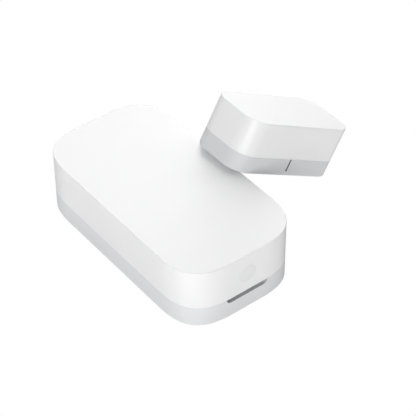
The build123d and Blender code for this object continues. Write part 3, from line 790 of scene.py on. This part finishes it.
def make_cell_rails():
    """Two rails on the tray's floor that stop just under the cell."""
    low, high = FLOOR_TOP - SINK, CELL_LOW.z - RAIL_GAP
    edge = 0.08
    bm = bmesh.new()
    for side in (-1, 1):
        centre = (CELL_X, side * RAIL_Y, (low + high) / 2)
        add_box(bm, centre, (RAIL_LENGTH, RAIL_THICK, high - low), edge)
    new_piece("base_cell_rails", bm, "base", "grey_shell")


# ---- Adhesive: foam pads with bulging sides, and their liners ----

LINER_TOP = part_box("release_liner")[1].z / MM


def crowned_pad(ring, inset):
    """Foam pad cut from sheet: its side bows out a little at half height."""
    bow, lip, edge = 0.08, 0.04, 0.05
    low, high = LINER_TOP, PAD_TOP
    profile = [(inset + FACE_RING, low), (inset + edge, low), (inset, low + lip)]
    profile += bulged_side(inset, bow, low + lip, high - lip)
    profile += [(inset, high - lip), (inset + edge, high), (inset + FACE_RING, high)]
    return shell(ring, profile)


def liner_sheet(ring, inset):
    """Thin paper liner with softly crushed edges."""
    crush = 0.02
    low, high = 0.4 * LINER_TOP, 0.7 * LINER_TOP
    profile = [(inset + FACE_RING, 0.0), (inset + crush, 0.0), (inset, low), (inset, high)]
    profile += [(inset + crush, LINER_TOP), (inset + FACE_RING, LINER_TOP)]
    return shell(ring, profile)


def magnet_pad_ring(inset, height):
    """Points round the magnet unit's pad, shrunk by inset."""
    return rounded_ring(*MAGNET_PAD, inset, height)


def make_adhesives():
    """A foam pad and its liner under each unit."""
    # name, outline, inset, body, place and start of the CAD nodes' names
    under_sensor = ("sensor", sensor_ring, PAD_INSET, "base", LEVEL, "")
    under_magnet = ("magnet", magnet_pad_ring, 0.0, "magnet_unit", MAGNET, "magnet_")
    for name, ring, inset, body, place, prefix in (under_sensor, under_magnet):
        pad = new_piece(f"{name}_foam_pad", crowned_pad(ring, inset), body, "foam_tape", place)
        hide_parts(f"{prefix}adhesive_pad")
        liner = new_piece(f"{name}_pad_liner", liner_sheet(ring, inset), body, "liner_paper", place)
        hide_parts(f"{prefix}release_liner")


# ---- Button ----

BUTTON_BACK, BUTTON_FACE = (corner.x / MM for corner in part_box("button_cap"))
BUTTON_CLEARANCE = 0.008
BUTTON_RADIUS = BUTTON_HOLE - BUTTON_CLEARANCE
BOSS_RADIUS = 0.75
BOSS_HEIGHT = 0.12
FLANGE_RADIUS = 1.8
FLANGE_GAP = 0.05
FLANGE_FRONT = HALF_LENGTH - COVER_WALL - FLANGE_GAP


def make_button():
    """Flush round button: fine edge, flange behind the wall and a boss that meets the switch."""
    edge = 0.03
    corner = 0.06
    back_ring, face_ring = 0.3, 0.5
    flange_back = BUTTON_BACK + BOSS_HEIGHT
    profile = [(back_ring, BUTTON_BACK), (BOSS_RADIUS - INNER_EDGE, BUTTON_BACK)]
    profile += [(BOSS_RADIUS, BUTTON_BACK + INNER_EDGE), (BOSS_RADIUS, flange_back)]
    profile += [(FLANGE_RADIUS - corner, flange_back), (FLANGE_RADIUS, flange_back + corner)]
    profile += [(FLANGE_RADIUS, FLANGE_FRONT - INNER_EDGE), (FLANGE_RADIUS - INNER_EDGE, FLANGE_FRONT)]
    profile += [(BUTTON_RADIUS, FLANGE_FRONT), (BUTTON_RADIUS, BUTTON_FACE - edge)]
    profile += [(BUTTON_RADIUS - 0.3 * edge, BUTTON_FACE - 0.3 * edge), (BUTTON_RADIUS - edge, BUTTON_FACE)]
    profile += [(BUTTON_RADIUS - 2 * edge, BUTTON_FACE), (face_ring, BUTTON_FACE)]
    place = tip_to((1, 0, 0), (0, 0, BUTTON_Z))
    button = new_piece("button_disc", lathe(profile), "button", "button_white", place)
    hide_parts("button_cap")


# ---- Magnet unit, on its own leaning plane ----

MAGNET_CEILING = MAGNET_TOP - MAGNET_ROOF
COLLAR_TOP = 4.6
COLLAR_CLEARANCE = 0.05
COLLAR_THICK = 0.6
COLLAR_OUTER = MAGNET_WALL + COLLAR_CLEARANCE
COLLAR_INNER = COLLAR_OUTER + COLLAR_THICK
SPACER_SIZE = (16.0, 4.4, 0.4)  # length, width and corner radius
BAR_HEIGHT = 4.5


def make_magnet_cover():
    """White top shell of the magnet unit, with fine edges."""
    corner = 0.4
    profile = cover_profile(MAGNET_WALL, corner, FACE_RING, MAGNET_SEAM, MAGNET_CEILING, MAGNET_TOP)
    bm = shell(magnet_ring, profile)
    cover = new_piece("magnet_cover_shell", bm, "magnet_unit", "white_shell", MAGNET)
    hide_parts("magnet_cover")


def make_magnet_base():
    """Grey tray with a collar that stands inside the cover, the pad's recess and the alignment mark."""
    bevel = 0.08
    corner = 0.1
    recess_margin = 0.2
    underside_ring = 1.6
    profile = [(underside_ring, RIM_Z), (EDGE_ROUND + LEAD, RIM_Z)]
    profile += round_edge(EDGE_ROUND, RIM_Z + EDGE_ROUND, EDGE_ROUND, -90, 0)
    profile += [(0.0, MAGNET_SEAM - SEAM_EDGE), (SEAM_EDGE, MAGNET_SEAM), (COLLAR_OUTER, MAGNET_SEAM)]
    profile += [(COLLAR_OUTER, COLLAR_TOP - bevel), (COLLAR_OUTER + bevel, COLLAR_TOP)]
    profile += [(COLLAR_INNER, COLLAR_TOP), (COLLAR_INNER, FLOOR_TOP + corner)]
    profile += [(COLLAR_INNER + corner, FLOOR_TOP), (COLLAR_INNER + 3 * corner, FLOOR_TOP)]
    bm = shell(magnet_ring, profile)
    # its grey is darker than the sensor's: painted shade
    base = new_piece("magnet_base_shell", bm, "magnet_unit", "grey_shell", MAGNET, "magnet_grey_painted_shade")
    recess = bmesh.new()
    stack(recess, [magnet_pad_ring(-recess_margin, height) for height in (RIM_Z - CUT_MARGIN, PAD_TOP)])
    cut(base, recess, MAGNET)
    cut_mark(base, (0, -MAGNET_WIDTH / 2), MAGNET_SEAM, MAGNET)
    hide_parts("magnet_base")


def spacer_ring(inset, height):
    """Points round the foam spacer, shrunk by inset."""
    return rounded_ring(*SPACER_SIZE, inset, height)


def make_magnet_spacer():
    """Foam block squeezed between the bar magnet and the cover's roof."""
    low, high = FLOOR_TOP + BAR_HEIGHT, MAGNET_CEILING
    face, rim, side, bow, lip = 0.1, 0.03, 0.02, 0.12, 0.05
    profile = [(FACE_RING, low), (face, low), (rim, low + lip)]
    profile += bulged_side(side, bow, low + lip, high - lip)
    profile += [(rim, high - lip), (face, high), (FACE_RING, high)]
    spacer = new_piece("magnet_foam_spacer", shell(spacer_ring, profile), "magnet_unit", "foam_tape", MAGNET)
    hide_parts("magnet_spacer")


# ---- Coin cell ----

CELL_PLACE = Matrix.Translation((CELL_X, 0, 0))
CAN_WALL = 0.25
CAN_INNER = CELL_RADIUS - CAN_WALL
CAN_CORNER = 0.35
CRIMP_RADIUS = 0.25
EMBOSS_SHARE = 0.6
EMBOSS_DEPTH = 0.03
EMBOSS_RUN = 0.12
EMBOSS_EDGE = 0.5
GASKET_THICK = 0.35
GASKET_DROP = 0.15
GASKET_LOW = CELL_LOW.z + CAN_WALL
GASKET_HIGH = CELL_TOP - GASKET_DROP
CAP_RADIUS = CAN_INNER - GASKET_THICK
CAP_CORNER = 0.5
CAP_DISH = 0.04


def make_cell_can():
    """Drawn can with a raised centre underneath, crimped inwards at its top."""
    low, high = CELL_LOW.z, CELL_HIGH.z
    emboss = EMBOSS_SHARE * CELL_RADIUS
    lip = 0.1
    profile = [(FACE_RING, low), (emboss, low), (emboss + EMBOSS_RUN, low + EMBOSS_DEPTH)]
    profile += [(CELL_RADIUS - EMBOSS_EDGE, low + EMBOSS_DEPTH)]
    profile += round_edge(CELL_RADIUS - CAN_CORNER, low + CAN_CORNER, CAN_CORNER, -90, 0, outward=1)
    profile += round_edge(CAN_INNER, high - CRIMP_RADIUS, CRIMP_RADIUS, 20, 120, steps=5, outward=1)
    profile += [(CAN_INNER - lip, high - 1.2 * lip), (CAN_INNER, high - CRIMP_RADIUS)]
    profile += [(CAN_INNER, GASKET_LOW), (FACE_RING, GASKET_LOW)]
    can = new_piece("coin_cell_can", lathe(profile), "battery", "cell_steel", CELL_PLACE)
    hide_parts("cell_can")


def make_cell_gasket():
    """Ring between can and cap: pinched by the crimp, with a thin lip showing above it."""
    pinch = [(0.0, 0.26), (0.12, 0.1)]  # (inset, depth under the can's rim)
    lip = [(0.14, 0.03), (0.18, 0.0)]  # (inset, depth under the gasket's top)
    profile = [(CAN_INNER, GASKET_LOW)]
    profile += [(CAN_INNER - inset, CELL_HIGH.z - depth) for inset, depth in pinch]
    profile += [(CAN_INNER - inset, GASKET_HIGH - depth) for inset, depth in lip]
    profile += [(CAP_RADIUS, GASKET_HIGH), (CAP_RADIUS, GASKET_LOW)]
    ring = new_piece("coin_cell_gasket", lathe(profile, closed=True), "battery", "gasket_nylon", CELL_PLACE)
    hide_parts("cell_gasket")


def make_cell_cap():
    """Round-edged cap with a slightly dished top, standing out of the gasket."""
    profile = [(FACE_RING, GASKET_LOW), (CAP_RADIUS, GASKET_LOW), (CAP_RADIUS, CELL_TOP - CAP_CORNER)]
    profile += round_edge(CAP_RADIUS - CAP_CORNER, CELL_TOP - CAP_CORNER, CAP_CORNER, 0, 90, outward=1)
    profile += [(0.72 * CAP_RADIUS, CELL_TOP), (0.7 * CAP_RADIUS, CELL_TOP - CAP_DISH)]
    profile += [(FACE_RING, CELL_TOP - CAP_DISH)]
    cap = new_piece("coin_cell_cap", lathe(profile), "battery", "cell_steel", CELL_PLACE)
    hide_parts("cell_cap")


# ---- Board details ----

def solids_of(node):
    """Low and high corners, in millimetres, of each separate solid of a CAD node."""
    same_place = 1e-4 * MM
    bm = bmesh.new()
    bm.from_mesh(nodes[node].data)
    bmesh.ops.remove_doubles(bm, verts=bm.verts, dist=same_place)
    seen = set()
    boxes = []
    for start in bm.verts:
        if start in seen:
            continue
        group, front = [], [start]
        seen.add(start)
        while front:
            vert = front.pop()
            group.append(vert.co / MM)
            for edge in vert.link_edges:
                other = edge.other_vert(vert)
                if other not in seen:
                    seen.add(other)
                    front.append(other)
        low = Vector([min(p[axis] for p in group) for axis in range(3)])
        high = Vector([max(p[axis] for p in group) for axis in range(3)])
        boxes.append((low, high))
    bm.free()
    return boxes


def make_chip_ends():
    """Tinned end caps and solder wedges of the chip capacitors and resistors."""
    skin = 0.015
    cap_length = wedge_length = 0.22
    wedge_out = 0.2
    cap_edge, wedge_edge = 0.03, 0.09
    bm = bmesh.new()
    for node in ("chip_capacitors", "chip_resistors"):
        for low, high in solids_of(node):
            size = high - low
            axis = 0 if size.x > size.y else 1
            for side in (-1, 1):
                cap = size + Vector((2 * skin, 2 * skin, skin))
                cap[axis] = cap_length
                centre = (low + high) / 2
                centre[axis] += side * (size[axis] / 2 - cap[axis] / 2 + skin)
                centre.z += skin / 2
                add_box(bm, centre, cap, cap_edge)
                # solder wedge that climbs from the pad to half the chip's height
                foot = Vector(centre)
                foot[axis] += side * wedge_out
                foot.z = BOARD_TOP + size.z / 4
                wedge = Vector(cap)
                wedge[axis] = wedge_length
                wedge.z = size.z / 2
                add_box(bm, foot, wedge, wedge_edge)
    new_piece("chip_end_caps", bm, "housing", "tinned_can", look="solder")


def make_chip_pads():
    """Pads and solder along the radio chip's four sides."""
    count = 8
    pitch = 0.5
    length, width, height = 0.3, 0.26, 0.1
    standoff = 0.12
    edge = 0.03
    low, high = (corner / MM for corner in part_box("radio_chip"))
    centre = (low + high) / 2
    half = (high.x - low.x) / 2
    bm = bmesh.new()
    for turn in range(4):
        rotation = Matrix.Rotation(turn * math.pi / 2, 3, "Z")
        for index in range(count):
            across = (index - (count - 1) / 2) * pitch
            place = rotation @ Vector((half + standoff, across, 0))
            size = rotation @ Vector((length, width, height))
            size = Vector((abs(size.x), abs(size.y), height))
            place = (centre.x + place.x, centre.y + place.y, BOARD_TOP + height / 2)
            add_box(bm, place, size, edge)
    new_piece("radio_chip_pads", bm, "housing", "tinned_can", look="solder")


def make_solder_joints():
    """Domed solder joints on both faces of the board at the ends of the reed switch's leads."""
    from_end = 0.25
    sides = 24
    dome = [(0.1, 0.32), (0.3, 0.3), (0.42, 0.18), (0.62, 0.06), (0.75, 0.0), (0.1, 0.0)]
    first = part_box("reed_lead")[0].x / MM + from_end
    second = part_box("reed_fixed_blade")[1].x / MM - from_end
    bm = bmesh.new()
    for x in (first, second):
        for level, sign in ((BOARD_TOP, 1), (BOARD_BOTTOM, -1)):
            rings = [circle_ring(r, level + sign * height, sides, x, REED_Y) for r, height in dome]
            stack(bm, rings)
    new_piece("reed_solder_joints", bm, "housing", "tinned_can", look="solder")


TEST_PADS = 6
TEST_PAD_CORNER = (11.5, -5.2)
TEST_PAD_PITCH = 1.5
TEST_PAD_RADIUS = 0.5
VIA_TRIES = 26
VIA_RADIUS = 0.2
VIA_REACH = (9.5, 10.3)
VIA_STRETCH = (1.1, 0.85)
VIA_LIMIT = (17, 8.4)
VIA_POST_GAP = 1.6
VIA_SEED = 7


def make_test_pads():
    """Round gold test pads in two columns, and small vias scattered round the cell, under the board."""
    thick = 0.03
    sides = 24
    corner_x, corner_y = TEST_PAD_CORNER
    places = [
        (corner_x + TEST_PAD_PITCH * (i % 2), corner_y + TEST_PAD_PITCH * (i // 2), TEST_PAD_RADIUS)
        for i in range(TEST_PADS)
    ]
    draw = random.Random(VIA_SEED)
    for _ in range(VIA_TRIES):
        angle = draw.uniform(0, 2 * math.pi)
        away = draw.uniform(*VIA_REACH)
        x = CELL_X + away * math.cos(angle) * VIA_STRETCH[0]
        y = away * math.sin(angle) * VIA_STRETCH[1]
        on_board = abs(x) < VIA_LIMIT[0] and abs(y) < VIA_LIMIT[1]
        if on_board and all(math.hypot(x - px, y - py) > VIA_POST_GAP for px, py in POSTS):
            places.append((x, y, VIA_RADIUS))
    bm = bmesh.new()
    for x, y, radius in places:
        steps = ((0.0, 0.0), (0.0, 0.7 * thick), (thick, thick))
        stack(bm, [circle_ring(radius - shrink, BOARD_BOTTOM - drop, sides, x, y) for shrink, drop in steps])
    new_piece("board_test_pads", bm, "housing", "gold_trace")


make_sensor_cover()
make_cover_posts()
make_cover_tongue()
make_sensor_base()
make_snap_fingers()
make_cell_rails()
make_adhesives()
make_button()
make_magnet_cover()
make_magnet_base()
make_magnet_spacer()
make_cell_can()
make_cell_gasket()
make_cell_cap()
make_chip_ends()
make_chip_pads()
make_solder_joints()
make_test_pads()


# ---- Studio ----

AIM = Vector((0.0, 0.005, 0.006))
LIGHT_DISTANCE = 0.6
FRONT = -45.0  # bearing of the object's front from +X, in degrees
SOFT_FILL = 0.18
FLOOR_GLOW = 0.13
FLOOR_HALF = 3.0
FLOOR_DROP = 0.02 * MM
PAPER_WHITES = (0.89, 0.89, 0.89), (0.91, 0.91, 0.91)
FULL_WHITE = (1.0, 1.0, 1.0, 1.0)

# name, bearing from the front, elevation, width and height in metres, energy in watts
LIGHTS = (
    ("low_front", 3.5, 12, (0.35, 0.2), 2.02),
    ("low_back", 180, 12, (0.35, 0.2), 1.5),
    ("high_left", -135, 45, (0.35, 0.35), 1.0),
    ("high_front_left", -45, 45, (0.35, 0.35), 0.5),
    ("high_front", 0, 45, (0.35, 0.35), 0.25),
    ("high_magnet_side", 135, 45, (0.35, 0.35), 0.72),
    ("high_back", 180, 45, (0.35, 0.35), 1.25),
)
UNDERSIDE_LIGHT = ("underside", -FRONT, -90, (0.2, 0.2), 1.0)

CAMERA_TARGET = Vector((3.785, 5.28, 5.82)) * MM
CAMERA_AZIMUTH = math.radians(52.25)
CAMERA_ELEVATION = math.radians(42.30)
CAMERA_ROLL = math.radians(-0.25)
CAMERA_DISTANCE = 266.26 * MM
CAMERA_LENS = 143.13
FILM_WIDTH = 36.0


def make_floor():
    """Plain white paper that the camera sees as an even white, and sees through from below."""
    mesh = bpy.data.meshes.new("floor")
    corners = [(x * FLOOR_HALF, y * FLOOR_HALF, 0) for x, y in ((-1, -1), (1, -1), (1, 1), (-1, 1))]
    mesh.from_pydata(corners, [], [(0, 1, 2, 3)])
    floor = bpy.data.objects.new("floor", mesh)
    bpy.context.scene.collection.objects.link(floor)
    material, tree, shader = new_material("floor_paper")
    fibres = noise_texture(tree, size_mm=0.8, detail=6.0)
    tree.links.new(colour_ramp(tree, fibres, *PAPER_WHITES), shader.inputs["Base Color"])
    shader.inputs["Roughness"].default_value = 0.9
    shader.inputs["Emission Color"].default_value = FULL_WHITE
    shader.inputs["Emission Strength"].default_value = FLOOR_GLOW
    white = tree.nodes.new("ShaderNodeEmission")
    clear = tree.nodes.new("ShaderNodeBsdfTransparent")
    path = tree.nodes.new("ShaderNodeLightPath")
    side = tree.nodes.new("ShaderNodeNewGeometry")
    seen = tree.nodes.new("ShaderNodeMixShader")
    tree.links.new(path.outputs["Is Camera Ray"], seen.inputs["Fac"])
    tree.links.new(shader.outputs["BSDF"], seen.inputs[1])
    tree.links.new(white.outputs["Emission"], seen.inputs[2])
    through = tree.nodes.new("ShaderNodeMixShader")
    tree.links.new(side.outputs["Backfacing"], through.inputs["Fac"])
    tree.links.new(seen.outputs["Shader"], through.inputs[1])
    tree.links.new(clear.outputs["BSDF"], through.inputs[2])
    tree.links.new(through.outputs["Shader"], tree.nodes["Material Output"].inputs["Surface"])
    floor.data.materials.append(material)
    floor.location.z = -FLOOR_DROP
    floor.visible_glossy = False
    return floor


def area_light(name, bearing, elevation, size, energy):
    """Soft box at a bearing from the front and an elevation, turned to the object."""
    bearing, elevation = math.radians(FRONT + bearing), math.radians(elevation)
    away = Vector((
        math.cos(bearing) * math.cos(elevation),
        math.sin(bearing) * math.cos(elevation),
        math.sin(elevation),
    ))
    data = bpy.data.lights.new(name, "AREA")
    data.shape = "RECTANGLE"
    data.size, data.size_y = size
    data.energy = energy
    lamp = bpy.data.objects.new(name, data)
    bpy.context.scene.collection.objects.link(lamp)
    lamp.location = AIM + away * LIGHT_DISTANCE
    lamp.rotation_euler = away.to_track_quat("Z", "Y").to_euler()
    return lamp


def light_underside(floor):
    """Soft box under the floor: the floor doesn't stop its light, so the underside can be looked at."""
    lamp = area_light(*UNDERSIDE_LIGHT)
    passes = bpy.data.collections.new("light_passes")
    passes.objects.link(floor)
    passes.collection_objects[0].light_linking.link_state = "EXCLUDE"
    lamp.light_linking.blocker_collection = passes


def make_world():
    """White behind everything for the camera, and a soft even fill for the object."""
    world = bpy.data.worlds.new("studio")
    bpy.context.scene.world = world
    world.use_nodes = True
    tree = world.node_tree
    background = tree.nodes["Background"]
    background.inputs["Color"].default_value = FULL_WHITE
    path = tree.nodes.new("ShaderNodeLightPath")
    strength = map_range(tree, path.outputs["Is Camera Ray"], SOFT_FILL, 1.0)
    tree.links.new(strength, background.inputs["Strength"])


def make_camera():
    """Camera at an azimuth and elevation about a target, with a slight roll."""
    back = Vector((
        math.sin(CAMERA_AZIMUTH) * math.cos(CAMERA_ELEVATION),
        -math.cos(CAMERA_AZIMUTH) * math.cos(CAMERA_ELEVATION),
        math.sin(CAMERA_ELEVATION),
    ))
    level_right = Vector((math.cos(CAMERA_AZIMUTH), math.sin(CAMERA_AZIMUTH), 0.0))
    level_up = back.cross(level_right)
    right = level_right * math.cos(CAMERA_ROLL) + level_up * math.sin(CAMERA_ROLL)
    up = back.cross(right)
    data = bpy.data.cameras.new("camera")
    data.sensor_width = FILM_WIDTH
    data.lens = CAMERA_LENS
    data.clip_start = 0.01
    data.clip_end = 20.0
    camera = bpy.data.objects.new("camera", data)
    bpy.context.scene.collection.objects.link(camera)
    place = CAMERA_TARGET + back * CAMERA_DISTANCE
    camera.matrix_world = Matrix((
        (right.x, up.x, back.x, place.x),
        (right.y, up.y, back.y, place.y),
        (right.z, up.z, back.z, place.z),
        (0.0, 0.0, 0.0, 1.0),
    ))
    bpy.context.scene.camera = camera


light_underside(make_floor())
for light in LIGHTS:
    area_light(*light)
make_world()
make_camera()
bpy.context.scene.view_settings.view_transform = "Standard"
